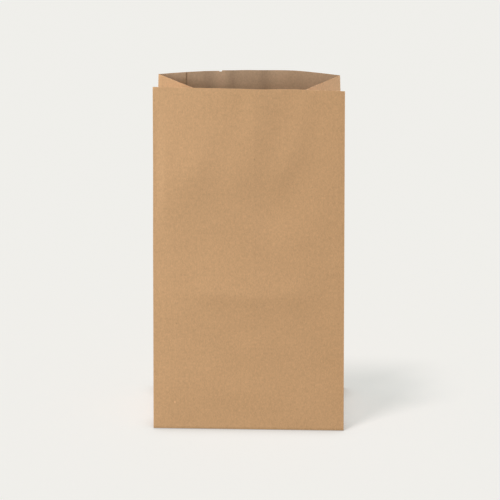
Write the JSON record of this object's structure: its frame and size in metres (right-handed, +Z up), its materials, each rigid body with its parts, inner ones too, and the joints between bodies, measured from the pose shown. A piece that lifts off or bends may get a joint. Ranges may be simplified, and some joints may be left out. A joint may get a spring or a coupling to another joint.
{
  "type": "brown paper lunch bag",
  "caption": "Open kraft paper lunch bag with pleated sides, a glued back seam and a folded rectangular base, standing upright.",
  "frame": {"origin": "bottom centre of the standing bag, on the surface it stands on", "axes": "+Z up to the open mouth, smooth front panel towards -Y, seamed back panel towards +Y, +X to the right seen from the front"},
  "size_m": [0.1556, 0.0922, 0.2802],
  "materials": {
    "kraft_paper": "matt unbleached brown kraft, machine-finished, faintly mottled"
  },
  "bodies": {
    "root": {"paper_bag": "kraft_paper"}
  },
  "joints": []
}
